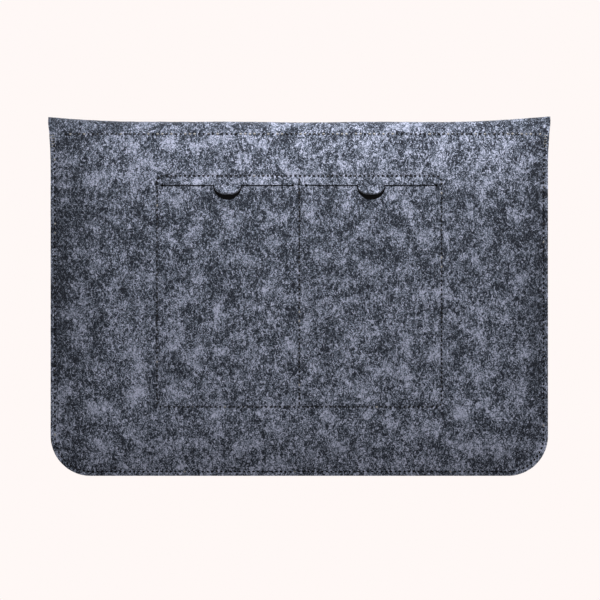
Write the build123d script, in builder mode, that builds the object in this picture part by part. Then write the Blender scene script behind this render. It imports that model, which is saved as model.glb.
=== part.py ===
"""Felt sleeve for a 13-inch laptop, standing upright on its bottom seam.

Millimetres. +X runs to the right of a person who looks at the pocket side, +Y runs through the
thickness from the pocket side to the closing flap, and +Z runs up to the top fold. The origin is
under the middle of the sleeve, on the surface that it stands on.

Two felt panels are sewn together along the sides and the bottom, with a flannel lining inside.
The back panel runs on over the top as a strip between two soft creases and comes down in front
as the flap, which two pairs of hook-and-loop pads hold shut. Two slits in the back panel open
into a thin bag, and a tongue of felt hangs in the thumb notch of each slit.
"""

import os

from build123d import *

# Outline, seen from the pocket side
HALF_WIDTH = 173.5
EAR_HALF_WIDTH = 175.0
CREST = 247.0
EAR_RISE = 3.6
CORNER_RADIUS = 28.0
MOUTH_Z = 236.0
FLAP_EDGE_Z = 165.0

# Layers, through the thickness
FELT = 3.0
LINING = 1.0
BAG = 0.8
POCKET_GAP = 1.5
LAPTOP_SPACE = 12.0
PAD = 0.9
PAD_PLAY = 0.2
FLAP_STAND_OFF = 4.0

# The border of each panel: a flat sewn margin, then a slope out to the flat middle
SEAM_MARGIN = 4.0
SLOPE = 14.0
SHOULDER = SEAM_MARGIN + SLOPE

# Above the pockets both sides lean in towards the top fold
BACK_LEAN_Z = 212.0
FLAP_LEAN_Z = 200.0
LEAN = 2.3
FLAP_LEAN = 1.7

# The two creases of the top fold, at the middle of the felt
FOLD_RADIUS = 5.0

# Pockets on the back panel
POCKET_X = 50.0
SLIT_Z = 202.5
SLIT_LENGTH = 90.6
SLIT_WIDTH = 0.7
END_HOLE_RADIUS = 0.9
NOTCH_RADIUS = 10.1
TONGUE_HALF_WIDTH = 9.8
TONGUE_DEPTH = 6.8
POCKET_SEAM_HALF_WIDTH = 99.0
POCKET_SEAM_TOP = 209.1
POCKET_SEAM_BOTTOM = 48.3
POCKET_SEAM_CORNER = 4.0
BAG_BORDER = 5.0

# Sewing
THREAD = 0.7
THREAD_SINK = 0.5
SEAM_INSET = 3.0
SEAM_END_Z = 238.0
HEM_Z = 238.4
MOUTH_HEM_DROP = 4.0
TACK_ARM = 3.5
TACK_THREAD = 0.4
TACK_HEIGHT = 1.0
TACK_PITCH = 2.4
TACK_COUNT = 4
TACK_TOP_Z = 235.0

# Hook-and-loop pads
PAD_X = 112.0
PAD_Z = 181.0
PAD_LENGTH = 50.0
PAD_WIDTH = 20.0
PAD_CORNER = 2.0
PAD_SEAM_INSET = 2.0

# Distances of each face from the seam plane, where the two linings meet
LINING_IN = LAPTOP_SPACE / 2
LINING_OUT = LINING_IN + LINING
BAG_OUT = LINING_OUT + BAG
BACK_IN = BAG_OUT + POCKET_GAP
BACK_OUT = BACK_IN + FELT
FRONT_OUT = LINING_OUT + FELT
FLAP_IN = FRONT_OUT + 2 * PAD + PAD_PLAY
FLAP_OUT = FLAP_IN + FELT
MARGIN_OUT = LINING + FELT
FLAP_MARGIN_OUT = MARGIN_OUT + FLAP_STAND_OFF + FELT
FOLD_BACK = BACK_OUT - LEAN
FOLD_FRONT = FLAP_OUT - FLAP_LEAN

# The seam plane stands off Y = 0 so that the whole thickness is centred on it
SEAM_Y = (BACK_OUT - FLAP_OUT) / 2
FOLD_Z = CREST - FELT / 2 - FOLD_RADIUS
FLAT_HALF_WIDTH = HALF_WIDTH - SHOULDER
MARGIN_HALF_WIDTH = HALF_WIDTH - SEAM_MARGIN
SLIT_TOP = SLIT_Z + SLIT_WIDTH / 2
OVERCUT = 1.0

os.makedirs("parts", exist_ok=True)


def upright(depth):
    """Plane facing -Y, at a signed distance from the seam plane, positive towards the flap."""
    return Plane.XZ.offset(-(SEAM_Y + depth))


def keep(piece, name):
    """Names a finished piece and writes it."""
    piece.label = name
    export_step(piece, f"parts/{name}.step")


def panel_face(depth, inset, top_z):
    """Panel shape with rounded lower corners, drawn in from the outline by inset."""
    with BuildSketch(upright(depth)) as face:
        with Locations((0, (top_z + inset) / 2)):
            Rectangle(2 * (HALF_WIDTH - inset), top_z - inset)
        fillet(face.vertices().group_by(Axis.Y)[0], CORNER_RADIUS - inset)
    return face.sketch


def dish(side, margin, middle, top_z):
    """Solid from the seam plane out to a bulged face, on one side (-1 pockets, +1 flap).

    The face stands at margin over the sewn border and at middle over the flat middle.
    """
    with BuildPart() as solid:
        if margin > 0:
            extrude(panel_face(0, 0, top_z), amount=-side * margin)
        border = panel_face(side * margin, SEAM_MARGIN, top_z)
        loft([border, panel_face(side * middle, SHOULDER, top_z)], ruled=True)
    return solid.part


def leaning(side, depth, lean_z, lean):
    """Solid across the whole width, from the seam plane to a face that leans in above lean_z."""
    over = FOLD_Z + OVERCUT
    lean_over = lean * (over - lean_z) / (FOLD_Z - lean_z)
    with BuildPart() as solid:
        with BuildSketch(Plane.YZ):
            with BuildLine():
                Polyline(
                    (SEAM_Y, -OVERCUT),
                    (SEAM_Y + side * depth, -OVERCUT),
                    (SEAM_Y + side * depth, lean_z),
                    (SEAM_Y + side * (depth - lean_over), over),
                    (SEAM_Y, over),
                    close=True,
                )
            make_face()
        extrude(amount=HALF_WIDTH, both=True)
    return solid.part


def seam_face(depth):
    """Line of the thread along the sides and the bottom."""
    with BuildSketch(upright(depth)) as face:
        add(panel_face(depth, SEAM_INSET - THREAD / 2, SEAM_END_Z))
        add(panel_face(depth, SEAM_INSET + THREAD / 2, SEAM_END_Z + OVERCUT), mode=Mode.SUBTRACT)
    return face.sketch


def ring_face(depth, centre, size, corner):
    """Line of a thread that runs round a rectangle, on the middle of the stitches."""
    with BuildSketch(upright(depth)) as face:
        with Locations(centre):
            RectangleRounded(size[0] + THREAD, size[1] + THREAD, corner + THREAD / 2)
            RectangleRounded(size[0] - THREAD, size[1] - THREAD, corner - THREAD / 2, mode=Mode.SUBTRACT)
    return face.sketch


def bar_face(depth, centre, size):
    """Line of a straight thread."""
    with BuildSketch(upright(depth)) as face:
        with Locations(centre):
            Rectangle(*size)
    return face.sketch


def pad_seam_face(depth, side):
    """Line of the thread round one hook-and-loop pad."""
    size = (PAD_LENGTH - 2 * PAD_SEAM_INSET, PAD_WIDTH - 2 * PAD_SEAM_INSET)
    return ring_face(depth, (side * PAD_X, PAD_Z), size, PAD_CORNER)


def sunk(face, side, sink=THREAD_SINK):
    """Solid that a thread fills, from the face it shows on down into the material."""
    with BuildPart() as solid:
        extrude(face, amount=side * sink)
    return solid.part


# Thread lines on the back panel
seam_height = POCKET_SEAM_TOP - POCKET_SEAM_BOTTOM
pocket_centre = (0, (POCKET_SEAM_TOP + POCKET_SEAM_BOTTOM) / 2)
pocket_ring = ring_face(
    -BACK_OUT, pocket_centre, (2 * POCKET_SEAM_HALF_WIDTH, seam_height), POCKET_SEAM_CORNER
)
pocket_outline_thread = sunk(pocket_ring, -1)
divider_thread = sunk(bar_face(-BACK_OUT, pocket_centre, (THREAD, seam_height - THREAD)), -1)
hem_depth = BACK_OUT - LEAN * (HEM_Z - BACK_LEAN_Z) / (FOLD_Z - BACK_LEAN_Z)
hem_thread = sunk(bar_face(-hem_depth, (0, HEM_Z), (2 * FLAT_HALF_WIDTH, THREAD)), -1)
back_seam_thread = sunk(seam_face(-MARGIN_OUT), -1)

# Back panel: felt, bulged over its middle, with the two pocket slits and their thumb notches
with BuildPart() as back_inside:
    add(dish(-1, LINING, BACK_IN, FOLD_Z + OVERCUT))
    add(leaning(-1, BACK_IN, BACK_LEAN_Z, LEAN), mode=Mode.INTERSECT)

with BuildPart() as back_panel:
    add(dish(-1, MARGIN_OUT, BACK_OUT, FOLD_Z))
    add(leaning(-1, BACK_OUT, BACK_LEAN_Z, LEAN), mode=Mode.INTERSECT)
    add(back_inside.part, mode=Mode.SUBTRACT)
    with BuildSketch(upright(-BACK_OUT - OVERCUT)) as slits:
        with Locations((-POCKET_X, SLIT_Z), (POCKET_X, SLIT_Z)):
            Rectangle(SLIT_LENGTH, SLIT_WIDTH)
            with Locations((-SLIT_LENGTH / 2, 0), (SLIT_LENGTH / 2, 0)):
                Circle(END_HOLE_RADIUS)
    extrude(amount=-(FELT + 2 * OVERCUT), mode=Mode.SUBTRACT)
    with BuildSketch(upright(-BACK_OUT - OVERCUT)) as notches:
        with Locations((-POCKET_X, SLIT_Z), (POCKET_X, SLIT_Z)):
            Circle(NOTCH_RADIUS)
        with Locations((0, SLIT_Z + NOTCH_RADIUS)):
            Rectangle(2 * HALF_WIDTH, 2 * NOTCH_RADIUS, mode=Mode.SUBTRACT)
    extrude(amount=-(FELT + 2 * OVERCUT), mode=Mode.SUBTRACT)
    for thread in (pocket_outline_thread, divider_thread, hem_thread, back_seam_thread):
        add(thread, mode=Mode.SUBTRACT)
keep(back_panel.part, "back_panel")

# Tongues: the felt that hangs from the upper lip of each slit into its thumb notch
for side, name in ((-1, "tongue_left"), (1, "tongue_right")):
    with BuildPart() as tongue:
        with BuildSketch(upright(-BACK_OUT)):
            with Locations((side * POCKET_X, SLIT_TOP)):
                Ellipse(TONGUE_HALF_WIDTH, TONGUE_DEPTH)
            with Locations((side * POCKET_X, SLIT_TOP + TONGUE_DEPTH)):
                Rectangle(4 * TONGUE_HALF_WIDTH, 2 * TONGUE_DEPTH, mode=Mode.SUBTRACT)
        extrude(amount=-FELT)
    keep(tongue.part, name)

# Pocket bag: one sheet of thin fabric behind both slits
with BuildPart() as pocket_bag:
    with BuildSketch(upright(-BAG_OUT)):
        with Locations(pocket_centre):
            RectangleRounded(
                2 * (POCKET_SEAM_HALF_WIDTH + BAG_BORDER),
                seam_height + 2 * BAG_BORDER,
                POCKET_SEAM_CORNER,
            )
    extrude(amount=-BAG)
keep(pocket_bag.part, "pocket_bag")

# Linings: flannel, one sheet behind each felt panel
with BuildPart() as back_lining:
    add(dish(-1, LINING, LINING_OUT, FOLD_Z))
    add(dish(-1, 0, LINING_IN, FOLD_Z + OVERCUT), mode=Mode.SUBTRACT)
keep(back_lining.part, "back_lining")

with BuildPart() as front_lining:
    add(dish(1, LINING, LINING_OUT, MOUTH_Z))
    add(dish(1, 0, LINING_IN, MOUTH_Z + OVERCUT), mode=Mode.SUBTRACT)
keep(front_lining.part, "front_lining")

# Front panel: felt, bulged like the back panel, and open along its top edge
mouth_hem_line = bar_face(FRONT_OUT, (0, MOUTH_Z - MOUTH_HEM_DROP), (2 * FLAT_HALF_WIDTH, THREAD))
mouth_thread = sunk(mouth_hem_line, 1)
front_seam_thread = sunk(seam_face(MARGIN_OUT), 1)
with BuildPart() as front_panel:
    add(dish(1, MARGIN_OUT, FRONT_OUT, MOUTH_Z))
    add(dish(1, LINING, LINING_OUT, MOUTH_Z + OVERCUT), mode=Mode.SUBTRACT)
    for thread in (mouth_thread, front_seam_thread):
        add(thread, mode=Mode.SUBTRACT)
keep(front_panel.part, "front_panel")


def arch_face(x, back, front, top_z, radius):
    """Section across the top fold at x, its two upper corners rounded."""
    base_z = FOLD_Z - 2 * FELT
    with BuildSketch(Plane.YZ.offset(x)) as face:
        with Locations((SEAM_Y + (back + front) / 2, (base_z + top_z) / 2)):
            Rectangle(front - back, top_z - base_z)
        fillet(face.vertices().group_by(Axis.Y)[-1], radius)
    return face.sketch


def arch(wall):
    """Solid under the felt's outer face (wall 0) or under its inner face (wall one felt)."""
    middle = (-FOLD_BACK + wall, FOLD_FRONT - wall, CREST - wall, FOLD_RADIUS + FELT / 2 - wall)
    ear_radius = (MARGIN_OUT + FLAP_MARGIN_OUT) / 2 - wall - THREAD_SINK
    ear_low = (-MARGIN_OUT + wall, FLAP_MARGIN_OUT - wall, CREST + EAR_RISE / 2 - wall, ear_radius)
    ear = (-MARGIN_OUT + wall, FLAP_MARGIN_OUT - wall, CREST + EAR_RISE - wall, ear_radius)
    stations = (
        (-EAR_HALF_WIDTH, ear),
        (-MARGIN_HALF_WIDTH, ear_low),
        (-FLAT_HALF_WIDTH, middle),
        (FLAT_HALF_WIDTH, middle),
        (MARGIN_HALF_WIDTH, ear_low),
        (EAR_HALF_WIDTH, ear),
    )
    with BuildPart() as solid:
        loft([arch_face(x, *section) for x, section in stations], ruled=True)
    return solid.part


# Top fold: the felt between the back panel and the flap, flared at both ends
with BuildPart() as top_fold:
    add(arch(0))
    add(arch(FELT), mode=Mode.SUBTRACT)
    with BuildSketch(upright(FLAP_OUT + OVERCUT)):
        with BuildLine():
            Polyline(
                (-HALF_WIDTH, FOLD_Z),
                (-EAR_HALF_WIDTH, FOLD_Z + FOLD_RADIUS),
                (-EAR_HALF_WIDTH, CREST + 2 * EAR_RISE),
                (EAR_HALF_WIDTH, CREST + 2 * EAR_RISE),
                (EAR_HALF_WIDTH, FOLD_Z + FOLD_RADIUS),
                (HALF_WIDTH, FOLD_Z),
                close=True,
            )
        make_face()
    extrude(amount=BACK_OUT + FLAP_OUT + 2 * OVERCUT, mode=Mode.INTERSECT)

# The stiff strip between the creases, seen from above
CREASE_INSET = FOLD_RADIUS + FELT / 2
strip_back = SEAM_Y - FOLD_BACK + CREASE_INSET
strip_front = SEAM_Y + FOLD_FRONT - CREASE_INSET
ear_middle = SEAM_Y + (FLAP_MARGIN_OUT - MARGIN_OUT) / 2
with BuildSketch(Plane.XY.offset(FOLD_Z)) as strip_plan:
    with BuildLine():
        Polyline(
            (-EAR_HALF_WIDTH, ear_middle - FELT / 2),
            (-MARGIN_HALF_WIDTH, ear_middle - FELT / 2),
            (-FLAT_HALF_WIDTH, strip_back),
            (FLAT_HALF_WIDTH, strip_back),
            (MARGIN_HALF_WIDTH, ear_middle - FELT / 2),
            (EAR_HALF_WIDTH, ear_middle - FELT / 2),
            (EAR_HALF_WIDTH, ear_middle + FELT / 2),
            (MARGIN_HALF_WIDTH, ear_middle + FELT / 2),
            (FLAT_HALF_WIDTH, strip_front),
            (-FLAT_HALF_WIDTH, strip_front),
            (-MARGIN_HALF_WIDTH, ear_middle + FELT / 2),
            (-EAR_HALF_WIDTH, ear_middle + FELT / 2),
            close=True,
        )
    make_face()

with BuildPart() as top_strip:
    add(top_fold.part)
    extrude(strip_plan.sketch, amount=CREST, mode=Mode.INTERSECT)
keep(top_strip.part, "top_strip")

with BuildPart() as creases:
    add(top_fold.part)
    extrude(strip_plan.sketch, amount=CREST, mode=Mode.SUBTRACT)
crease_solids = creases.solids().sort_by(Axis.Y)
keep(Part(crease_solids[0].wrapped), "rear_crease")
keep(Part(crease_solids[-1].wrapped), "front_crease")


def flap_block(wall):
    """Solid from the seam plane out to the flap's outer face (wall 0) or its inner face."""
    with BuildPart() as solid:
        with BuildSketch(Plane.XY.offset(FLAP_EDGE_Z - OVERCUT)):
            with BuildLine():
                Polyline(
                    (-HALF_WIDTH, SEAM_Y),
                    (-HALF_WIDTH, SEAM_Y + FLAP_MARGIN_OUT - wall),
                    (-MARGIN_HALF_WIDTH, SEAM_Y + FLAP_MARGIN_OUT - wall),
                    (-FLAT_HALF_WIDTH, SEAM_Y + FLAP_OUT - wall),
                    (FLAT_HALF_WIDTH, SEAM_Y + FLAP_OUT - wall),
                    (MARGIN_HALF_WIDTH, SEAM_Y + FLAP_MARGIN_OUT - wall),
                    (HALF_WIDTH, SEAM_Y + FLAP_MARGIN_OUT - wall),
                    (HALF_WIDTH, SEAM_Y),
                    close=True,
                )
            make_face()
        extrude(amount=FOLD_Z - FLAP_EDGE_Z + 2 * OVERCUT)
        add(leaning(1, FLAP_OUT - wall, FLAP_LEAN_Z, FLAP_LEAN), mode=Mode.INTERSECT)
    return solid.part


# Flap: felt, bulged from side to side to clear the front panel, with rounded lower corners
flap_pad_threads = {side: sunk(pad_seam_face(FLAP_OUT, side), 1) for side in (-1, 1)}
with BuildPart() as flap_panel:
    add(flap_block(0))
    add(flap_block(FELT), mode=Mode.SUBTRACT)
    with BuildSketch(upright(0)) as flap_shape:
        with Locations((0, (FLAP_EDGE_Z + FOLD_Z) / 2)):
            Rectangle(2 * HALF_WIDTH, FOLD_Z - FLAP_EDGE_Z)
        fillet(flap_shape.vertices().group_by(Axis.Y)[0], CORNER_RADIUS)
    extrude(amount=-(FLAP_OUT + OVERCUT), mode=Mode.INTERSECT)
    for thread in flap_pad_threads.values():
        add(thread, mode=Mode.SUBTRACT)
keep(flap_panel.part, "flap_panel")

# Hook-and-loop pads: hooks under the flap, loops on the front panel, each sewn round its edge
for side, name in ((-1, "left"), (1, "right")):
    with BuildPart() as hook_pad:
        with BuildSketch(upright(FLAP_IN)):
            with Locations((side * PAD_X, PAD_Z)):
                RectangleRounded(PAD_LENGTH, PAD_WIDTH, PAD_CORNER)
        extrude(amount=PAD)
    keep(hook_pad.part, f"hook_pad_{name}")
    keep(flap_pad_threads[side], f"hook_pad_stitching_{name}")

    loop_thread = sunk(pad_seam_face(FRONT_OUT + PAD, side), 1)
    with BuildPart() as loop_pad:
        with BuildSketch(upright(FRONT_OUT)):
            with Locations((side * PAD_X, PAD_Z)):
                RectangleRounded(PAD_LENGTH, PAD_WIDTH, PAD_CORNER)
        extrude(amount=-PAD)
        add(loop_thread, mode=Mode.SUBTRACT)
    keep(loop_pad.part, f"loop_pad_{name}")
    keep(loop_thread, f"loop_pad_stitching_{name}")

# Stitching: each run of thread lies sunk in the felt that it holds
keep(pocket_outline_thread, "pocket_outline_stitching")
keep(divider_thread, "pocket_divider_stitching")
keep(hem_thread, "lining_hem_stitching")
keep(mouth_thread, "mouth_hem_stitching")
with BuildPart() as side_seam:
    add(back_seam_thread)
    add(front_seam_thread)
keep(side_seam.part, "side_seam_stitching")

# Bar tacks: threads wound round the edge where each side seam ends at the mouth
for side, name in ((-1, "bar_tack_left"), (1, "bar_tack_right")):
    with BuildPart() as bar_tack:
        for turn in range(TACK_COUNT):
            with BuildSketch(Plane.XY.offset(TACK_TOP_Z - turn * TACK_PITCH)):
                with Locations((side * (HALF_WIDTH - (TACK_ARM - TACK_THREAD) / 2), SEAM_Y)):
                    Rectangle(TACK_ARM + TACK_THREAD, 2 * (MARGIN_OUT + TACK_THREAD))
                with Locations((side * (HALF_WIDTH - TACK_ARM), SEAM_Y)):
                    Rectangle(2 * TACK_ARM, 2 * MARGIN_OUT, mode=Mode.SUBTRACT)
            extrude(amount=-TACK_HEIGHT)
    keep(bar_tack.part, name)
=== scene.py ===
"""Felt laptop sleeve: its felt, linings, stitches and pads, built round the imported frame.

Every length is in metres. Seen from the pocket side, +X runs to the right, +Y from the pocket
side to the flap, and +Z up to the fold. Depths are measured from the seam plane, where the two
linings meet, and a panel's lay is (across, along the cut, down into the felt).
"""

import math
import random

import bpy
import numpy as np
from mathutils import Matrix, Vector, noise


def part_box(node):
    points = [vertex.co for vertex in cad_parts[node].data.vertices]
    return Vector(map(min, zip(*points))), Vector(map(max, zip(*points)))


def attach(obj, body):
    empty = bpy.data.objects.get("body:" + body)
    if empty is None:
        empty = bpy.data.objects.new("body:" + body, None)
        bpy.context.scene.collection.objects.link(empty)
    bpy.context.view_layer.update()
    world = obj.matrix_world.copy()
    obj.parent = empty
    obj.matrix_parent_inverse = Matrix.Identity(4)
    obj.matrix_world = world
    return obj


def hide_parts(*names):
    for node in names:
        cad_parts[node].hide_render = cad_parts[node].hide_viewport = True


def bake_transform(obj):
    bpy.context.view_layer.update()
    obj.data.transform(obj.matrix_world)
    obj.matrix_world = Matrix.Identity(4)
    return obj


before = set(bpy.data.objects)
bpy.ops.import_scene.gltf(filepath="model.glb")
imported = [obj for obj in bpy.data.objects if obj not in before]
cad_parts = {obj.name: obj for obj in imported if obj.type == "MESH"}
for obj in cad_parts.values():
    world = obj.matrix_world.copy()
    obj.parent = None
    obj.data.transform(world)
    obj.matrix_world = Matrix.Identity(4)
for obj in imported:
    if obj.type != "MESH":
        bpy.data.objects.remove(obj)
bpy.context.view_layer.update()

bl_info = {
    "name": "Felt Laptop Sleeve",
    "version": (1, 0, 0),
    "blender": (4, 5, 0),
    "location": "3D View > Sidebar > Sleeve",
    "description": "Builds the felt, linings, stitches and pads of a laptop sleeve",
    "category": "Add Mesh",
}

MM = 0.001

# Places read from the frame
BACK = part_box("back_panel")
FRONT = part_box("front_panel")
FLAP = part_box("flap_panel")
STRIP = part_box("top_strip")
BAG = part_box("pocket_bag")
POCKET_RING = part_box("pocket_outline_stitching")
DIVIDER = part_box("pocket_divider_stitching")
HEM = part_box("lining_hem_stitching")
MOUTH_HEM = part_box("mouth_hem_stitching")
SIDE_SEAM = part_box("side_seam_stitching")
TONGUES = {side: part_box(f"tongue_{side}") for side in ("left", "right")}
TACKS = {side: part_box(f"bar_tack_{side}") for side in ("left", "right")}

SEAM_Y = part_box("back_lining")[1].y
HALF_WIDTH = BACK[1].x
EAR_HALF_WIDTH = STRIP[1].x
FELT = FRONT[1].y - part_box("front_lining")[1].y
LINING_DEPTH = SEAM_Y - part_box("back_lining")[0].y
BACK_DEPTH = SEAM_Y - BACK[0].y
FRONT_DEPTH = FRONT[1].y - SEAM_Y
FLAP_DEPTH = FLAP[1].y - SEAM_Y
FOLD_Z = BACK[1].z
CREST_Z = STRIP[0].z + FELT
EAR_Z = STRIP[1].z
MOUTH_Z = FRONT[1].z
FLAP_EDGE_Z = FLAP[0].z
THREAD = DIVIDER[1].x - DIVIDER[0].x
SLIT_TOP = TONGUES["left"][1].z
SLIT_WIDTH = 0.7 * MM
SLIT_Z = SLIT_TOP - SLIT_WIDTH / 2
SLIT_HALF_LENGTH = 45.3 * MM
NOTCH_RADIUS = 10.1 * MM
POCKET_X = {s: (box[0].x + box[1].x) / 2 for s, box in TONGUES.items()}
CORNER_RADIUS = 28 * MM
LINING = 1 * MM
MARGIN_DEPTH = LINING + FELT
FLAP_MARGIN_DEPTH = 11 * MM
RING_X = POCKET_RING[1].x - THREAD / 2
RING_TOP = POCKET_RING[1].z - THREAD / 2
RING_BOTTOM = POCKET_RING[0].z + THREAD / 2
RING_CORNER = 4 * MM
HEM_Z = (HEM[0].z + HEM[1].z) / 2
MOUTH_HEM_Z = (MOUTH_HEM[0].z + MOUTH_HEM[1].z) / 2
SEAM_INSET = HALF_WIDTH - SIDE_SEAM[1].x + THREAD / 2

# The sheets' own shape between those places
MARGIN = 4 * MM             # sewn border, where the sheets lie flat on each other
BORDER_REACH = 46 * MM      # how far in from the border a panel goes on rising
BORDER_POWER = 2.8          # how soon it rises
CORNER_POWER = 3.6          # how square its rise turns at a lower corner
SIDE_FLARE = 0.8 * MM       # how far the sides spread towards the fold
FLARE_FROM_Z = 215 * MM
LEAN_FROM_Z = 200 * MM      # above here the panels lean in towards the fold
LEAN_POWER = 1.4
BACK_LEAN = 3.6 * MM
LINING_LEAN = 1.3 * MM
FLAP_LEAN = 1.7 * MM
ARCH_BASE_Z = 236 * MM      # above here the sheet turns over the top
ARCH_LENGTH = 38 * MM       # felt used to go over the top
ARCH_POWER = 2.6            # how square the fold is in the middle, and at its ends
EAR_ARCH_POWER = 2.0
ARCH_STEPS = 17
CREST_BOW = 0.4 * MM        # how far the crest rises beside its middle
CREST_BOW_REACH = 60 * MM
EAR_FROM_X = 100 * MM       # beyond here the crest rises into its flared ends
EAR_POWER = 2.1
EAR_SPREAD = 0.4 * MM
EAR_SHARE = 0.35
PULL_REACH = 1.1 * MM       # half the width of the dent along a row of stitches
LIP_LIFT = 0.8 * MM         # how far the felt above a slit stands off the pocket
PUNCH_RADIUS = 1.0 * MM     # punched hole at each end of a slit
TONGUE_LIFT = 1.6 * MM      # how far a tongue's tip stands out
TONGUE_GAP = 0.55 * MM      # room beside, above and under a tongue
ROOT_GAP = 0.2 * MM
TONGUE_SHORT = 0.8 * MM
TONGUE_POWER = 2.2
LINING_INSET = 0.4 * MM
OTHER_FELT = 50 * MM        # lay depth that sets another piece of felt apart

# Felt: how strongly each thing changes its tone, and where on the cut painted light and shade
# change the tone
LIGHT_FIBRES = 0.22
LIGHT_ANGLES = (12, 58, 101, 149)
LIGHT_SHAPE = (2.0, 5.0, 0.05)      # curl across and along in mm, and fineness
DARK_FIBRES = 0.98
DARK_ANGLES = (5, 35, 66, 95, 128, 160)
DARK_SHAPE = (1.7, 4.2, 0.062)
BLOTCHES = 1.25
CLUMPS = 0.6
GRAIN = 1.7
FELT_TONE = 0.715
# Painted light and shade: each step darkens or lightens the felt from its start on, and stays.
# Together they darken the sides, darken the band below the slits, lighten the strip above them and
# darken the crest.
PAINTED_LIGHT_AND_SHADE = (            # way, where it starts and ends in mm, change
    ("to side", 140, 166, -0.09),
    ("to side", 168, 171, 0.07),
    ("along", 50, 90, -0.025),
    ("along", 118, 145, -0.065),
    ("along", 197, 202, 0.105),
    ("along", 218, 228, -0.04),
    ("along", 238, 246, -0.08),
    ("along", 262, 272, 0.08),
)

# Threads: the share of stitches that show in the light colour
FEW_LIGHT, SOME_LIGHT, MOST_LIGHT = 0.05, 0.35, 0.85

# Stage
FLOOR_SIZE = 24
ROOM_LIGHT = 0.07
CAMERA_PLACE = (0.5 * MM, SEAM_Y - 8 * MM - 2.903, 0.1227)
CAMERA_LENS, CAMERA_SENSOR = 250, 36
MIDDLE = (0, 0, 0.12)
LIGHTS = (                  # name, place, aim, size, watts
    ("top_strip_light", (0.04, -0.10, 0.37), (0.03, 0, 0.22), (0.36, 0.03), 1.18),
    ("key", (0.52, -0.70, 0.66), MIDDLE, (0.4, 0.4), 2.1),
    ("fill", (-0.05, -1.5, 0.16), (0, 0, 0.06), (0.7, 0.25), 12.0),
    ("flap_fill", (-0.5, 1.2, 0.9), MIDDLE, (0.9, 0.9), 22.0),
)


class SleeveSizes(bpy.types.PropertyGroup):
    """Sizes of the soft parts that a maker could change."""

    grid_step: bpy.props.FloatProperty(
        name="Mesh step", description="Distance between points on a panel",
        default=2.0 * MM, min=0.5 * MM, unit="LENGTH", precision=4)
    fine_step: bpy.props.FloatProperty(
        name="Fine mesh step", description="Distance between points beside a seam",
        default=0.8 * MM, min=0.2 * MM, unit="LENGTH", precision=4)
    relief: bpy.props.FloatProperty(
        name="Relief", description="Height of the unevenness of the felt",
        default=0.16 * MM, min=0, unit="LENGTH", precision=5)
    fuzz: bpy.props.FloatProperty(
        name="Fuzz", description="Roughness of the faces and cut edges of the felt",
        default=0.07 * MM, min=0, unit="LENGTH", precision=5)
    seam_pull: bpy.props.FloatProperty(
        name="Seam pull", description="How far a row of stitches draws the felt in",
        default=0.55 * MM, min=0, unit="LENGTH", precision=5)
    stitch_pitch: bpy.props.FloatProperty(
        name="Stitch pitch", description="Distance from one needle hole to the next",
        default=3.2 * MM, min=1 * MM, unit="LENGTH", precision=4)
    stitch_length: bpy.props.FloatProperty(
        name="Stitch length", description="Length of thread that shows between two holes",
        default=1.9 * MM, min=0.5 * MM, unit="LENGTH", precision=4)
    thread_radius: bpy.props.FloatProperty(
        name="Thread radius", description="Half the width of the sewing thread",
        default=0.6 * MM, min=0.1 * MM, unit="LENGTH", precision=5)
    edge_round: bpy.props.FloatProperty(
        name="Edge rounding", description="How far the cut edges of the felt are worn round",
        default=0.5 * MM, min=0, unit="LENGTH", precision=5)


class SleeveColours(bpy.types.PropertyGroup):
    """Colours of the finishes, as linear light."""

    felt_dark: bpy.props.FloatVectorProperty(
        name="Dark wool", description="Darkest fibres of the heather felt",
        subtype="COLOR", size=3, default=(0.009, 0.011, 0.017))
    felt_middle: bpy.props.FloatVectorProperty(
        name="Middle wool", description="Ground colour of the heather felt",
        subtype="COLOR", size=3, default=(0.090, 0.107, 0.140))
    felt_light: bpy.props.FloatVectorProperty(
        name="Light wool", description="Lightest fibres of the heather felt",
        subtype="COLOR", size=3, default=(0.29, 0.305, 0.395))
    flannel: bpy.props.FloatVectorProperty(
        name="Flannel", description="Brushed lining",
        subtype="COLOR", size=3, default=(0.07, 0.073, 0.08))
    # Pocket fabric: a black cloth, made darker than any cloth is as painted shade, so that the
    # notches read as black shadow
    bag: bpy.props.FloatVectorProperty(
        name="Pocket fabric", description="Thin fabric of the pocket bag",
        subtype="COLOR", size=3, default=(0.0015, 0.0015, 0.002))
    dark_thread: bpy.props.FloatVectorProperty(
        name="Dark thread", description="Thread of the pockets and side seams",
        subtype="COLOR", size=3, default=(0.0025, 0.0025, 0.0035))
    light_thread: bpy.props.FloatVectorProperty(
        name="Light thread", description="Thread of the hems and bar tacks",
        subtype="COLOR", size=3, default=(0.50, 0.48, 0.46))
    hook_tape: bpy.props.FloatVectorProperty(
        name="Hook tape", description="Woven tape with hooks",
        subtype="COLOR", size=3, default=(0.02, 0.02, 0.023))
    loop_tape: bpy.props.FloatVectorProperty(
        name="Loop tape", description="Woven tape with loops",
        subtype="COLOR", size=3, default=(0.03, 0.03, 0.034))
    stage: bpy.props.FloatVectorProperty(
        name="Stage", description="Floor and surroundings",
        subtype="COLOR", size=3, default=(1.0, 0.939, 0.922))


# ---------------------------------------------------------------------------------------------
# Shape of the sheet


def smooth(value):
    """0 below 0, 1 above 1, and an S-shaped rise between them."""
    t = np.clip(value, 0, 1)
    return t * t * (3 - 2 * t)


def half_width(z, bottom=0.0):
    """Half the width of a panel at a height. Its rounded lower corners start at bottom."""
    over_bottom = np.clip(z - bottom, 0, CORNER_RADIUS)
    corner = CORNER_RADIUS - np.sqrt(np.maximum(
        CORNER_RADIUS ** 2 - (CORNER_RADIUS - over_bottom) ** 2, 0))
    flare = SIDE_FLARE * np.clip((z - FLARE_FROM_Z) / (ARCH_BASE_Z - FLARE_FROM_Z), 0, 1) ** 2
    return HALF_WIDTH - corner + flare


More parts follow.
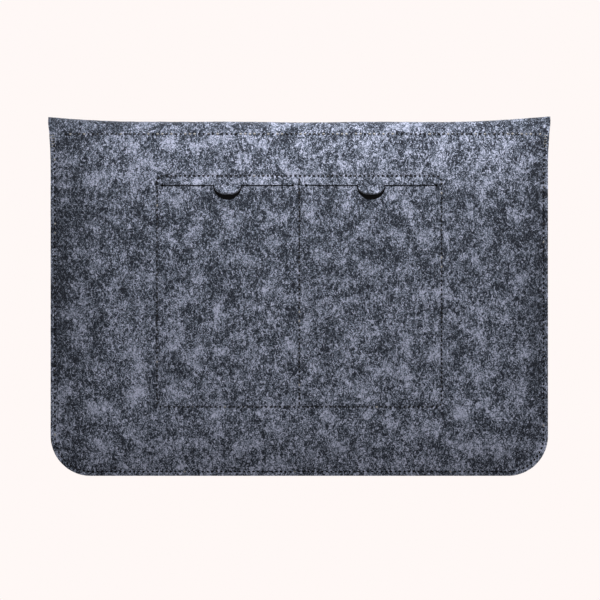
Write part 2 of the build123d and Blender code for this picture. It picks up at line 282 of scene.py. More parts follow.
def border_distance(x, z):
    """How far a place lies in from the sides and the rounded bottom corners."""
    reach = MARGIN + BORDER_REACH
    from_side = np.maximum(reach - (HALF_WIDTH - np.abs(x)), 0) / reach
    from_bottom = np.maximum(reach - z, 0) / reach
    both = (from_side ** CORNER_POWER + from_bottom ** CORNER_POWER) ** (1 / CORNER_POWER)
    return reach - reach * both


def rise(distance):
    """0 over the sewn margin and 1 over the flat middle of a panel."""
    t = np.clip((distance - MARGIN) / BORDER_REACH, 0, 1)
    return 1 - (1 - t) ** BORDER_POWER


def side_rise(x):
    """The same, from the two sides alone."""
    return rise(HALF_WIDTH - np.abs(x))


def lean(z):
    """Share of the lean towards the fold at a height."""
    return np.clip((z - LEAN_FROM_Z) / (FOLD_Z - LEAN_FROM_Z), 0, 1) ** LEAN_POWER


def back_depth(x, z):
    """Depth of the pocket side's outer face."""
    middle = BACK_DEPTH - BACK_LEAN * lean(z)
    return MARGIN_DEPTH + (middle - MARGIN_DEPTH) * rise(border_distance(x, z))


def front_depth(x, z):
    """Depth of the front panel's outer face."""
    return MARGIN_DEPTH + (FRONT_DEPTH - MARGIN_DEPTH) * rise(border_distance(x, z))


def flap_depth(x, z):
    """Depth of the flap's outer face."""
    middle = FLAP_DEPTH - FLAP_LEAN * lean(z)
    return FLAP_MARGIN_DEPTH + (middle - FLAP_MARGIN_DEPTH) * side_rise(x)


def lining_depth(x, z):
    """Depth of a lining's outer face."""
    middle = LINING_DEPTH - LINING_LEAN * lean(z)
    return LINING + (middle - LINING) * rise(border_distance(x, z) - 2 * MM)


def crest_height(x):
    """Height of the top fold, which rises towards its two ends."""
    middle = CREST_Z + CREST_BOW * smooth(np.abs(x) / CREST_BOW_REACH)
    out = np.clip((np.abs(x) - EAR_FROM_X) / (EAR_HALF_WIDTH - EAR_FROM_X), 0, 1)
    return middle + (EAR_Z - CREST_Z) * out ** EAR_POWER


def arch_half_width(share):
    """Half the width of the sheet at a share of the way over the top."""
    base = float(half_width(np.array(ARCH_BASE_Z)))
    rising = smooth(np.minimum(share, 1 - share) / EAR_SHARE)
    return base + (EAR_HALF_WIDTH + EAR_SPREAD - base) * rising


def arch_section(x, shares):
    """Places (depth, height) over the top at one x, at even shares of the way."""
    back, front = float(back_depth(x, ARCH_BASE_Z)), float(flap_depth(x, ARCH_BASE_Z))
    middle, half = (front - back) / 2, (front + back) / 2
    height = float(crest_height(x)) - ARCH_BASE_Z
    power = EAR_ARCH_POWER + (ARCH_POWER - EAR_ARCH_POWER) * float(side_rise(x))
    slope_at = 1 * MM
    back_slope = (back - float(back_depth(x, ARCH_BASE_Z + slope_at))) / slope_at
    front_slope = (front - float(flap_depth(x, ARCH_BASE_Z + slope_at))) / slope_at
    turn = np.linspace(math.pi, 0, 361)
    up = height * np.abs(np.sin(turn)) ** (2 / power)
    across = np.abs(np.cos(turn)) ** (2 / power)
    rear = turn > math.pi / 2
    depth = middle + np.where(
        rear, -across * (half - back_slope * up), across * (half - front_slope * up))
    run = np.concatenate(([0], np.cumsum(np.hypot(np.diff(depth), np.diff(up)))))
    along = shares * run[-1]
    return np.interp(along, run, depth), ARCH_BASE_Z + np.interp(along, run, up)


def spaced(low, high, step, fine_step, fine_at=(), fine_reach=2.0 * MM):
    """Places from low to high, a step apart, and closer beside the places in fine_at."""
    places, here = [low], low
    while here < high:
        near = any(abs(here - f) < fine_reach or 0 < f - here < fine_reach + fine_step
                   for f in fine_at)
        here += fine_step if near else step
        places.append(here)
    places[-1] = high
    if high - places[-2] < fine_step / 2:
        del places[-2]
    return np.array(places)


def corner_heights(low):
    """Heights up a rounded lower corner, at even turns."""
    turns = np.linspace(0, math.pi / 2, 21)[:-1]
    return low + CORNER_RADIUS * (1 - np.cos(turns))


# ---------------------------------------------------------------------------------------------
# Lay: where a point of a panel lay on the cut felt


def back_lay(places):
    """Lay of points of the cut that makes the back, the top fold and the flap."""
    x, y, z = places.T
    depth = y - SEAM_Y
    back, front = back_depth(x, ARCH_BASE_Z), flap_depth(x, ARCH_BASE_Z)
    middle, half = (front - back) / 2, (front + back) / 2
    height = crest_height(x) - ARCH_BASE_Z
    over = (z - ARCH_BASE_Z) / height
    out = (depth - middle) / half
    turn = np.arctan2(np.maximum(over, 0), -out) / math.pi
    in_arch = z > ARCH_BASE_Z
    rear = depth < middle
    along = np.where(in_arch, ARCH_BASE_Z + ARCH_LENGTH * turn,
                     np.where(rear, z, 2 * ARCH_BASE_Z + ARCH_LENGTH - z))
    into = np.where(in_arch, (1 - np.hypot(over, out)) * half,
                    np.where(rear, depth + back_depth(x, z), flap_depth(x, z) - depth))
    return np.column_stack((x, along, into))


def front_lay(places):
    """Lay of points of the front panel, cut from another piece of the felt."""
    x, y, z = places.T
    return np.column_stack((x, z, OTHER_FELT + front_depth(x, z) - (y - SEAM_Y)))


def write_lay(piece, lay):
    """Stores each point's lay on the piece, for its materials."""
    data = piece.data
    attribute = data.attributes.get("lay") or data.attributes.new("lay", "FLOAT_VECTOR", "POINT")
    attribute.data.foreach_set("vector", lay.astype(np.float32).ravel())


def places_of(piece):
    """Places of a piece's points, as rows of x, y, z."""
    co = np.empty(len(piece.data.vertices) * 3, np.float32)
    piece.data.vertices.foreach_get("co", co)
    return co.reshape(-1, 3).astype(float)


def normals_of(piece):
    """Normals of a piece's points, as rows of x, y, z."""
    normals = np.empty(len(piece.data.vertices) * 3, np.float32)
    piece.data.vertices.foreach_get("normal", normals)
    return normals.reshape(-1, 3)


def move_to(piece, places):
    """Puts a piece's points at the given places."""
    piece.data.vertices.foreach_set("co", places.astype(np.float32).ravel())
    piece.data.update()


# ---------------------------------------------------------------------------------------------
# Hand tools


def select_only(piece):
    """Makes one piece the only one selected, and the active one."""
    bpy.ops.object.select_all(action="DESELECT")
    piece.select_set(True)
    bpy.context.view_layer.objects.active = piece


def added(name):
    """Names the primitive that was just added."""
    piece = bpy.context.active_object
    piece.name = name
    piece.data.name = name
    return piece


def grid_piece(name, columns, rows):
    """A flat grid with one point for each column and row, rows last."""
    bpy.ops.object.select_all(action="DESELECT")
    bpy.ops.mesh.primitive_grid_add(
        x_subdivisions=columns - 1, y_subdivisions=rows - 1, size=1, location=(0, 0, 0))
    return added(name)


def apply_modifier(piece, kind, **settings):
    """Adds a modifier with its settings and applies it."""
    select_only(piece)
    modifier = piece.modifiers.new(kind.title(), kind)
    for key, value in settings.items():
        setattr(modifier, key, value)
    bpy.ops.object.modifier_apply(modifier=modifier.name)


def thicken(piece, thickness):
    """Gives a sheet its thickness, inwards from its outer face."""
    apply_modifier(piece, "SOLIDIFY", thickness=thickness, offset=-1)


def round_cut_edges(piece, width, keep_flat=None):
    """Rounds the sharp edges of a piece, except where keep_flat says that it joins another."""
    group = piece.vertex_groups.new(name="cut_edge")
    normals_at = {}
    for face in piece.data.polygons:
        for key in face.edge_keys:
            normals_at.setdefault(key, []).append(face.normal.copy())
    sharp = set()
    for key, normals in normals_at.items():
        if len(normals) == 2 and normals[0].dot(normals[1]) < 0.5:
            sharp.update(key)
    if keep_flat is not None:
        kept = keep_flat(places_of(piece))
        sharp = {i for i in sharp if not kept[i]}
    group.add(sorted(sharp), 1.0, "REPLACE")
    apply_modifier(piece, "BEVEL", width=width, segments=2, limit_method="VGROUP",
                   vertex_group=group.name, use_clamp_overlap=True)
    piece.vertex_groups.clear()


def roughen(piece, height, seed):
    """Leaves the cut edges and faces of the felt a little fuzzy."""
    random.seed(seed)
    places = places_of(piece)
    moves = np.array([random.uniform(-1, 1) for _ in places]) * height
    moves[joins_top(places)] = 0
    moved = places + normals_of(piece) * moves[:, None]
    moved[:, 2] = np.maximum(moved[:, 2], 0)
    move_to(piece, moved)


def finish_surface(piece, *materials):
    """Smooth shading, and the piece's materials."""
    select_only(piece)
    bpy.ops.object.shade_smooth_by_angle(angle=math.radians(50))
    piece.data.materials.clear()
    for material in materials:
        piece.data.materials.append(material)


def surface_noise(lay, height):
    """Unevenness of felt at each lay, in metres."""
    bumps = np.empty(len(lay))
    for i, (across, along, into) in enumerate(lay):
        felt = OTHER_FELT if into > OTHER_FELT / 2 else 0
        broad = noise.noise(Vector((across, along, 0.3 + felt)) / (55 * MM))
        middle = noise.noise(Vector((across, along, 0.7 + felt)) / (8 * MM))
        fine = noise.noise(Vector((across, along, 0.9 + felt)) / (3 * MM))
        bumps[i] = 2.2 * broad + 0.8 * middle + 0.6 * fine
    return bumps * height


def ring_distance(x, z, half_x, low, high, corner):
    """Distance from a row of stitches round a rectangle."""
    centre, half_z = (low + high) / 2, (high - low) / 2
    dx = np.abs(x) - (half_x - corner)
    dz = np.abs(z - centre) - (half_z - corner)
    outside = np.hypot(np.maximum(dx, 0), np.maximum(dz, 0))
    inside = np.minimum(np.maximum(dx, dz), 0)
    return np.abs(outside + inside - corner)


def dent(distance):
    """1 on a row of stitches, falling to 0 on both sides of it."""
    return np.exp(-(distance / PULL_REACH) ** 2)


def seam_pull(x, z, pull):
    """How far the rows of stitches draw the back panel's face in."""
    pulled = dent(ring_distance(x, z, RING_X, RING_BOTTOM, RING_TOP, RING_CORNER))
    in_divider = (z > RING_BOTTOM) & (z < RING_TOP)
    pulled = np.maximum(pulled, np.where(in_divider, dent(x), 0))
    pulled = np.maximum(pulled, 0.6 * dent(z - HEM_Z))
    side = np.where(z < MOUTH_Z + 2 * MM, dent(edge_inset(x, z) - SEAM_INSET), 0)
    return pull * np.maximum(pulled, side)


def edge_inset(x, z):
    """True distance in from the outline of a panel with rounded lower corners."""
    from_side = half_width(np.maximum(z, CORNER_RADIUS)) - np.abs(x)
    dx, dz = CORNER_RADIUS - from_side, CORNER_RADIUS - z
    in_corner = (dx > 0) & (dz > 0)
    return np.where(in_corner, CORNER_RADIUS - np.hypot(dx, dz), np.minimum(from_side, z))


# ---------------------------------------------------------------------------------------------
# Materials


def new_material(name):
    """A node material with its shader, and short ways to add nodes and links."""
    material = bpy.data.materials.new(name)
    material.use_nodes = True
    tree = material.node_tree
    shader = tree.nodes["Principled BSDF"]

    def node(kind, **settings):
        """Adds a node. The settings are its inputs, or its own options."""
        made = tree.nodes.new(kind)
        for key, value in settings.items():
            if key in made.inputs:
                made.inputs[key].default_value = value
            else:
                setattr(made, key, value)
        return made

    def math_node(operation, first, second=None, clamp=False):
        """Adds a sum of sockets or numbers, and gives its result."""
        made = node("ShaderNodeMath", operation=operation, use_clamp=clamp)
        for socket, value in zip(made.inputs, (first, second)):
            if isinstance(value, bpy.types.NodeSocket):
                tree.links.new(value, socket)
            elif value is not None:
                socket.default_value = value
        return made.outputs[0]

    return material, tree, shader, node, math_node


def set_inputs(made, values):
    """Sets inputs of a node that nothing is linked to."""
    for socket, value in values.items():
        made.inputs[socket].default_value = value


def colour_by_tone(tree, shader, tone, *stops):
    """Colours a shader by tone, with a colour at each of the given tones."""
    ramp = tree.nodes.new("ShaderNodeValToRGB")
    elements = ramp.color_ramp.elements
    elements.remove(elements[1])
    for count, (at, colour) in enumerate(stops):
        stop = elements.new(at) if count else elements[0]
        stop.position = at
        stop.color = (*colour, 1)
    tree.links.new(tone, ramp.inputs["Fac"])
    tree.links.new(ramp.outputs["Color"], shader.inputs["Base Color"])


def raise_by(tree, shader, height, strength, distance):
    """Gives a shader relief from a height."""
    bump = tree.nodes.new("ShaderNodeBump")
    set_inputs(bump, {"Strength": strength, "Distance": distance})
    tree.links.new(height, bump.inputs["Height"])
    tree.links.new(bump.outputs["Normal"], shader.inputs["Normal"])


def fibre_lines(tree, node, math_node, place, angle, seed, across, along, width):
    """Thin curved fibres that run one way over the felt, as a mask."""
    mapped = node("ShaderNodeMapping")
    set_inputs(mapped, {"Location": (seed * 7.3, seed * 3.1, seed * 5.7),
                        "Rotation": (0, 0, math.radians(angle)),
                        "Scale": (1 / across, 1 / along, 0.6 / across)})
    tree.links.new(place, mapped.inputs["Vector"])
    field = node("ShaderNodeTexNoise", noise_dimensions="3D",
                 Scale=1.0, Detail=1.0, Roughness=0.45)
    tree.links.new(mapped.outputs[0], field.inputs["Vector"])
    parts = node("ShaderNodeSeparateColor")
    tree.links.new(field.outputs["Color"], parts.inputs[0])
    off_line = math_node("ABSOLUTE", math_node("SUBTRACT", parts.outputs[0], 0.5))
    line = math_node("SUBTRACT", 1.0, math_node("DIVIDE", off_line, width), clamp=True)
    shown = math_node("MULTIPLY", math_node("SUBTRACT", parts.outputs[1], 0.44), 9.0, clamp=True)
    return math_node("MULTIPLY", line, shown)


def felt_material(name, colours):
    """Needled heather felt: a grey ground, dark blotches, and light and dark fibres, with painted
    light and shade as steps of tone over the cut.
    """
    material, tree, shader, node, math_node = new_material(name)
    link = tree.links.new
    lay = node("ShaderNodeAttribute", attribute_name="lay")
    in_mm = node("ShaderNodeVectorMath", operation="SCALE")
    in_mm.inputs["Scale"].default_value = 1 / MM
    link(lay.outputs["Vector"], in_mm.inputs[0])

    curl = node("ShaderNodeTexNoise", Scale=0.32, Detail=1.0, Roughness=0.5)
    link(in_mm.outputs[0], curl.inputs["Vector"])
    curl_centred = node("ShaderNodeVectorMath", operation="SUBTRACT")
    curl_centred.inputs[1].default_value = (0.5, 0.5, 0.5)
    link(curl.outputs["Color"], curl_centred.inputs[0])
    curl_scaled = node("ShaderNodeVectorMath", operation="SCALE")
    curl_scaled.inputs["Scale"].default_value = 5.0
    link(curl_centred.outputs[0], curl_scaled.inputs[0])
    curled = node("ShaderNodeVectorMath", operation="ADD")
    link(in_mm.outputs[0], curled.inputs[0])
    link(curl_scaled.outputs[0], curled.inputs[1])

    def fibres(angles, first_seed, *shape):
        """Fibres that run at several angles, as one mask."""
        mask = None
        for seed, angle in enumerate(angles, first_seed):
            lines = fibre_lines(tree, node, math_node, curled.outputs[0], angle, seed, *shape)
            mask = lines if mask is None else math_node("MAXIMUM", mask, lines)
        return mask

    light = fibres(LIGHT_ANGLES, 1, *LIGHT_SHAPE)
    dark = fibres(DARK_ANGLES, 11, *DARK_SHAPE)

    def patches(place, scale, detail, roughness):
        """Uneven patches of a scale, from 0 to 1."""
        field = node("ShaderNodeTexNoise", Scale=scale, Detail=detail, Roughness=roughness)
        link(place.outputs[0], field.inputs["Vector"])
        return field.outputs["Fac"]

    blotch = patches(in_mm, 0.075, 4.0, 0.62)
    clump = patches(curled, 0.45, 3.0, 0.6)
    grain = patches(in_mm, 1.15, 2.0, 0.65)

    def part(source, amount):
        """What patches add to the tone or take from it."""
        return math_node("MULTIPLY", math_node("SUBTRACT", source, 0.5), amount)

    tone = math_node("ADD", part(blotch, BLOTCHES), part(clump, CLUMPS))
    tone = math_node("ADD", tone, part(grain, GRAIN))
    tone = math_node("ADD", tone, math_node("MULTIPLY", light, LIGHT_FIBRES))
    in_dark = math_node("SUBTRACT", 1.9, math_node("MULTIPLY", blotch, 2.0), clamp=True)
    darker = math_node("MULTIPLY", math_node("MULTIPLY", dark, in_dark), DARK_FIBRES)
    tone = math_node("SUBTRACT", tone, darker)
    parts = node("ShaderNodeSeparateXYZ")
    link(lay.outputs["Vector"], parts.inputs[0])
    ways = {"to side": math_node("ABSOLUTE", parts.outputs[0]), "along": parts.outputs[1]}
    # Painted light and shade, as smooth steps of tone along the cut and out towards the sides
    for way, first, last, change in PAINTED_LIGHT_AND_SHADE:
        painted_step = node("ShaderNodeMapRange", interpolation_type="SMOOTHSTEP")
        set_inputs(painted_step, {"From Min": first * MM, "From Max": last * MM, "To Max": change})
        link(ways[way], painted_step.inputs["Value"])
        tone = math_node("ADD", tone, painted_step.outputs[0])
    tone = math_node("ADD", tone, FELT_TONE, clamp=True)
    colour_by_tone(tree, shader, tone, (0.14, colours.felt_dark), (0.50, colours.felt_middle),
                   (0.92, colours.felt_light))

    height = math_node("ADD", math_node("MULTIPLY", light, 0.5), math_node("MULTIPLY", clump, 1.2))
    height = math_node("ADD", height, math_node("MULTIPLY", grain, 0.5))
    raise_by(tree, shader, height, 0.8, 0.35 * MM)
    set_inputs(shader, {"Roughness": 0.95, "Specular IOR Level": 0.15, "Sheen Weight": 0.12,
                        "Sheen Roughness": 0.5, "Sheen Tint": (0.85, 0.88, 1.0, 1)})
    return material


def cloth_material(name, colour, pitch, nap, sheen=0.15):
    """Thin cloth: a fine weave at the given pitch, under a soft nap."""
    material, tree, shader, node, math_node = new_material(name)
    place = node("ShaderNodeTexCoord").outputs["Object"]

    def textured(kind, **settings):
        """A pattern laid on the cloth."""
        made = node(kind, **settings)
        tree.links.new(place, made.inputs["Vector"])
        return made.outputs["Fac"]

    warp, weft = (textured("ShaderNodeTexWave", wave_type="BANDS", bands_direction=way,
                           Distortion=0.4, Scale=0.314 / pitch) for way in ("X", "Z"))
    fuzz = textured("ShaderNodeTexNoise", Scale=900.0, Detail=3.0, Roughness=0.6)
    patch = textured("ShaderNodeTexNoise", Scale=40.0, Detail=2.0, Roughness=0.5)
    weave = math_node("MULTIPLY", warp, weft)
    tone = math_node("ADD", math_node("MULTIPLY", weave, 1 - nap),
                     math_node("MULTIPLY", fuzz, nap))
    tone = math_node("ADD", math_node("MULTIPLY", tone, 0.7), math_node("MULTIPLY", patch, 0.3))
    colour_by_tone(tree, shader, tone, (0.15, [0.55 * c for c in colour]),
                   (0.75, [1.35 * c for c in colour]))
    raise_by(tree, shader, tone, 0.5, 0.15 * MM)
    set_inputs(shader, {"Roughness": 0.9, "Specular IOR Level": 0.2, "Sheen Weight": sheen})
    return material


def thread_material(name, colour, other, share):
    """Twisted spun thread. Its lay is (along the stitch, round the thread, which stitch).

    The given share of the stitches is in the other colour, where fluff has come through.
    """
    material, tree, shader, node, math_node = new_material(name)
    link = tree.links.new
    lay = node("ShaderNodeAttribute", attribute_name="lay")
    parts = node("ShaderNodeSeparateXYZ")
    link(lay.outputs["Vector"], parts.inputs[0])
    turns = math_node("MULTIPLY", parts.outputs["X"], 2 * math.pi / (0.55 * MM))
    round_it = math_node("MULTIPLY", parts.outputs["Y"], 2.0)
    twist = math_node("SINE", math_node("ADD", turns, round_it))
    fluff = node("ShaderNodeTexNoise", Scale=2500.0, Detail=2.0)
    link(node("ShaderNodeTexCoord").outputs["Object"], fluff.inputs["Vector"])
    each = node("ShaderNodeTexWhiteNoise", noise_dimensions="1D")
    link(parts.outputs["Z"], each.inputs["W"])
    tone = math_node("ADD", math_node("MULTIPLY", twist, 0.25),
                     math_node("MULTIPLY", fluff.outputs["Fac"], 0.5))
    is_other = math_node("LESS_THAN", each.outputs["Value"], share)
    mixed = node("ShaderNodeMix", data_type="RGBA")
    link(is_other, mixed.inputs["Factor"])
    for socket, value in ((6, colour), (7, other)):
        mixed.inputs[socket].default_value = (*value, 1)
    shade = node("ShaderNodeMix", data_type="RGBA", blend_type="MULTIPLY")
    shade.inputs["Factor"].default_value = 0.7
    link(mixed.outputs[2], shade.inputs[6])
    link(tone, shade.inputs[7])
    link(shade.outputs[2], shader.inputs["Base Color"])
    raise_by(tree, shader, twist, 0.6, 0.1 * MM)
    set_inputs(shader, {"Roughness": 0.8, "Specular IOR Level": 0.2})
    return material


def stage_material(name, colour):
    """Pale floor. The camera sees it evenly in the stage colour, and other rays meet a grey
    diffuse floor that takes shadows.
    """
    material, tree, shader, node, _ = new_material(name)
    link = tree.links.new
    path = node("ShaderNodeLightPath")
    glow = node("ShaderNodeEmission", Strength=1.0)
    glow.inputs["Color"].default_value = (*colour, 1)
    seen = node("ShaderNodeMixShader")
    set_inputs(shader, {"Base Color": (*[0.5 * c for c in colour], 1), "Roughness": 1.0,
                        "Specular IOR Level": 0.0})
    link(path.outputs["Is Camera Ray"], seen.inputs[0])
    link(shader.outputs[0], seen.inputs[1])
    link(glow.outputs[0], seen.inputs[2])
    link(seen.outputs[0], tree.nodes["Material Output"].inputs["Surface"])
    return material


def shared_material(name, make, *args):
    """The material of that name, made once."""
    return bpy.data.materials.get(name) or make(name, *args)


# ---------------------------------------------------------------------------------------------
# Felt


def sheet_columns(sizes):
    """Shares across the width, closer beside the seams."""
    near_edge = HALF_WIDTH - 5 * MM
    fine_at = [-HALF_WIDTH, -near_edge, -RING_X, 0, RING_X, near_edge, HALF_WIDTH]
    return spaced(-HALF_WIDTH, HALF_WIDTH, sizes.grid_step, sizes.fine_step, fine_at) / HALF_WIDTH


def shape_back_felt(sizes):
    """The back panel, the rear crease and the rear half of the top, before it has a thickness."""
    shares = sheet_columns(sizes)
    fine_at = [RING_BOTTOM, SLIT_Z, RING_TOP, HEM_Z]
    heights = np.concatenate((
        corner_heights(0.0),
        spaced(CORNER_RADIUS, ARCH_BASE_Z, sizes.grid_step, sizes.fine_step, fine_at)))
    arch_shares = np.linspace(0, 0.5, ARCH_STEPS)[1:]
    piece = grid_piece("back_felt", len(shares), len(heights) + len(arch_shares))
    rows = panel_rows(shares, heights, back_depth, -1) + arch_rows(shares, arch_shares)
    move_to(piece, np.concatenate(rows))
    return piece


def panel_rows(shares, heights, depth_at, side, bottom=0.0):
    """Rows of places up a panel's outer face."""
    rows = []
    for z in heights:
        x = shares * float(half_width(z, bottom))
        rows.append(np.column_stack((x, SEAM_Y + side * depth_at(x, z), np.full_like(x, z))))
    return rows


def arch_rows(shares, arch_shares):
    """Rows of places over the top fold."""
    rows = [np.empty((len(shares), 3)) for _ in arch_shares]
    widths = arch_half_width(arch_shares)
    base = float(half_width(np.array(ARCH_BASE_Z)))
    for column, share in enumerate(shares):
        depth, height = arch_section(share * base, arch_shares)
        for row, (d, h, w) in enumerate(zip(depth, height, widths)):
            rows[row][column] = (share * w, SEAM_Y + d, h)
    return rows


def shape_flap_felt(sizes):
    """The front half of the top, the front crease and the flap, before it has a thickness."""
    shares = sheet_columns(sizes)
    arch_shares = np.linspace(0.5, 1, ARCH_STEPS)
    drop = spaced(FLAP_EDGE_Z + CORNER_RADIUS, ARCH_BASE_Z, sizes.grid_step, sizes.fine_step)
    heights = np.concatenate((drop[::-1][1:], corner_heights(FLAP_EDGE_Z)[::-1]))
    piece = grid_piece("flap_felt", len(shares), len(heights) + len(arch_shares))
    rows = arch_rows(shares, arch_shares)
    rows += panel_rows(shares, heights, flap_depth, 1, FLAP_EDGE_Z)
    move_to(piece, np.concatenate(rows))
    return piece


def add_relief(piece, lay_of, sizes, pull=None):
    """Moves the points of a sheet in and out, by its unevenness and by the pull of its seams."""
    places = places_of(piece)
    lay = lay_of(places)
    normals = normals_of(piece).astype(float)
    on_top = np.abs(lay[:, 1] - (ARCH_BASE_Z + ARCH_LENGTH / 2)) < 0.4 * MM
    normals[on_top] = (0, 0, 1)
    move = surface_noise(lay, sizes.relief)
    if pull is not None:
        move = move - pull(places[:, 0], places[:, 2])
    move_to(piece, places + normals * move[:, None])


def pocket_cutter():
    """What is cut out of the back panel: slits, their punched ends and the thumb notches."""
    over = 4 * MM
    depth = FELT + 2 * over
    centre_y = SEAM_Y - BACK_DEPTH - over + depth / 2
    parts = []
    for x in POCKET_X.values():
        bpy.ops.object.select_all(action="DESELECT")
        bpy.ops.mesh.primitive_cube_add(size=1, location=(x, centre_y, SLIT_Z),
                                        scale=(2 * SLIT_HALF_LENGTH, depth, SLIT_WIDTH))
        slit = added("slit_cutter")
        for at, radius, vertices in ((x, NOTCH_RADIUS, 64),
                                     (x - SLIT_HALF_LENGTH, PUNCH_RADIUS, 20),
                                     (x + SLIT_HALF_LENGTH, PUNCH_RADIUS, 20)):
            bpy.ops.object.select_all(action="DESELECT")
            bpy.ops.mesh.primitive_cylinder_add(
                vertices=vertices, radius=radius, depth=depth,
                location=(at, centre_y, SLIT_Z), rotation=(math.pi / 2, 0, 0))
            punch = added("punch")
            bpy.ops.object.transform_apply(location=True, rotation=True, scale=True)
            if radius == NOTCH_RADIUS:
                bpy.ops.object.mode_set(mode="EDIT")
                bpy.ops.mesh.select_all(action="SELECT")
                bpy.ops.mesh.bisect(plane_co=(0, 0, SLIT_Z), plane_no=(0, 0, 1),
                                    clear_outer=True, use_fill=True)
                bpy.ops.object.mode_set(mode="OBJECT")
            apply_modifier(slit, "BOOLEAN", operation="UNION", solver="EXACT", object=punch)
            bpy.data.objects.remove(punch)
        parts.append(slit)
    bpy.ops.object.select_all(action="DESELECT")
    for part in parts:
        part.select_set(True)
    bpy.context.view_layer.objects.active = parts[0]
    bpy.ops.object.join()
    cutter = bpy.context.active_object
    bpy.ops.object.transform_apply(location=True, rotation=True, scale=True)
    return cutter


def lift_lips(places):
    """Lifts the felt above each slit off the pocket, but neither at the seam nor at the tongue."""
    x, y, z = places.T
    above = (z > SLIT_Z) & (z < RING_TOP)
    share = np.where(above, (RING_TOP - z) / (RING_TOP - SLIT_TOP), 0)
    window = np.zeros_like(x)
    for centre in POCKET_X.values():
        away = np.abs(x - centre)
        beside = smooth((SLIT_HALF_LENGTH - away) / (9 * MM)) * smooth((away - 8 * MM) / (4 * MM))
        window = np.maximum(window, beside)
    lifted = places.copy()
    lifted[:, 1] = y - LIP_LIFT * np.clip(share, 0, 1) * window
    return lifted


def joins_top(places):
    """Where the two halves of the top meet."""
    return (np.abs(back_lay(places)[:, 1] - (ARCH_BASE_Z + ARCH_LENGTH / 2)) < 0.5 * MM) & (
        places[:, 2] > FOLD_Z)


class SLEEVE_OT_back_felt(bpy.types.Operator):
    """Add the back panel with its slits and notches, and the rear half of the top fold"""

    bl_idname = "sleeve.back_felt"
    bl_label = "Back felt"

    def execute(self, context):
        sizes, colours = context.scene.sleeve_sizes, context.scene.sleeve_colours
        piece = shape_back_felt(sizes)
        add_relief(piece, back_lay, sizes, lambda x, z: seam_pull(x, z, sizes.seam_pull))
        thicken(piece, FELT)
        round_cut_edges(piece, sizes.edge_round, joins_top)
        cutter = pocket_cutter()
        apply_modifier(piece, "BOOLEAN", operation="DIFFERENCE", solver="EXACT", object=cutter)
        bpy.data.objects.remove(cutter)
        write_lay(piece, back_lay(places_of(piece)))
        move_to(piece, lift_lips(places_of(piece)))
        roughen(piece, sizes.fuzz, 2)
        finish_surface(piece, shared_material("needled_wool", felt_material, colours))
        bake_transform(piece)
        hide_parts("back_panel", "rear_crease", "top_strip")
        return {"FINISHED"}


class SLEEVE_OT_flap_felt(bpy.types.Operator):
    """Add the front half of the top fold, and the flap"""

    bl_idname = "sleeve.flap_felt"
    bl_label = "Flap felt"

    def execute(self, context):
        sizes, colours = context.scene.sleeve_sizes, context.scene.sleeve_colours
        piece = shape_flap_felt(sizes)
        add_relief(piece, back_lay, sizes)
        thicken(piece, FELT)
        round_cut_edges(piece, sizes.edge_round, joins_top)
        write_lay(piece, back_lay(places_of(piece)))
        roughen(piece, sizes.fuzz, 3)
        finish_surface(piece, shared_material("needled_wool", felt_material, colours))
        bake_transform(piece)
        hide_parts("front_crease", "flap_panel")
        return {"FINISHED"}


class SLEEVE_OT_front_felt(bpy.types.Operator):
    """Add the front panel, which the flap covers in part"""

    bl_idname = "sleeve.front_felt"
    bl_label = "Front felt"

    def execute(self, context):
        sizes, colours = context.scene.sleeve_sizes, context.scene.sleeve_colours
        shares = -sheet_columns(sizes)
        heights = np.concatenate((
            corner_heights(0.0),
            spaced(CORNER_RADIUS, MOUTH_Z, sizes.grid_step, sizes.fine_step, [MOUTH_HEM_Z])))
        piece = grid_piece("front_felt", len(shares), len(heights))
        move_to(piece, np.concatenate(panel_rows(shares, heights, front_depth, 1)))

        def pull(x, z):
            """How far the hem and the side seams draw the face in."""
            hem, side = 0.7 * dent(z - MOUTH_HEM_Z), dent(edge_inset(x, z) - SEAM_INSET)
            return sizes.seam_pull * np.maximum(hem, side)

        add_relief(piece, front_lay, sizes, pull)
        thicken(piece, FELT)
        round_cut_edges(piece, sizes.edge_round)
        write_lay(piece, front_lay(places_of(piece)))
        roughen(piece, sizes.fuzz, 4)
        finish_surface(piece, shared_material("needled_wool", felt_material, colours))
        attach(piece, "sleeve_body")
        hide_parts("front_panel")
        return {"FINISHED"}


class SLEEVE_OT_tongues(bpy.types.Operator):
    """Add the tongue of felt that hangs in each thumb notch"""

    bl_idname = "sleeve.tongues"
    bl_label = "Tongues"

    def execute(self, context):
        sizes, colours = context.scene.sleeve_sizes, context.scene.sleeve_colours
        for side, (low, high) in TONGUES.items():
            half, drop = (high.x - low.x) / 2 - TONGUE_GAP, high.z - low.z - TONGUE_SHORT
            shares = np.linspace(-1, 1, 25)
            drops = drop * 0.985 * np.sin(np.linspace(0, math.pi / 2, 12))[::-1]
            piece = grid_piece(f"tongue_felt_{side}", len(shares), len(drops))
            rows = []
            for down in drops:
                wide = half * (1 - (down / drop) ** TONGUE_POWER) ** (1 / TONGUE_POWER)
                x = POCKET_X[side] + shares * wide
                z = np.full_like(x, SLIT_TOP - ROOT_GAP - down)
                out = TONGUE_LIFT * down / drop
                rows.append(np.column_stack((x, SEAM_Y - back_depth(x, z) - out, z)))
            move_to(piece, np.concatenate(rows))
            write_lay(piece, back_lay(places_of(piece)))
            add_relief(piece, back_lay, sizes)
            thicken(piece, FELT)
            round_cut_edges(piece, sizes.edge_round,
                            lambda places: places[:, 2] > SLIT_TOP - 2 * ROOT_GAP)
            write_lay(piece, back_lay(places_of(piece)))
            finish_surface(piece, shared_material("needled_wool", felt_material, colours))
            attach(piece, f"tongue_{side}")
            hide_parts(f"tongue_{side}")
        return {"FINISHED"}


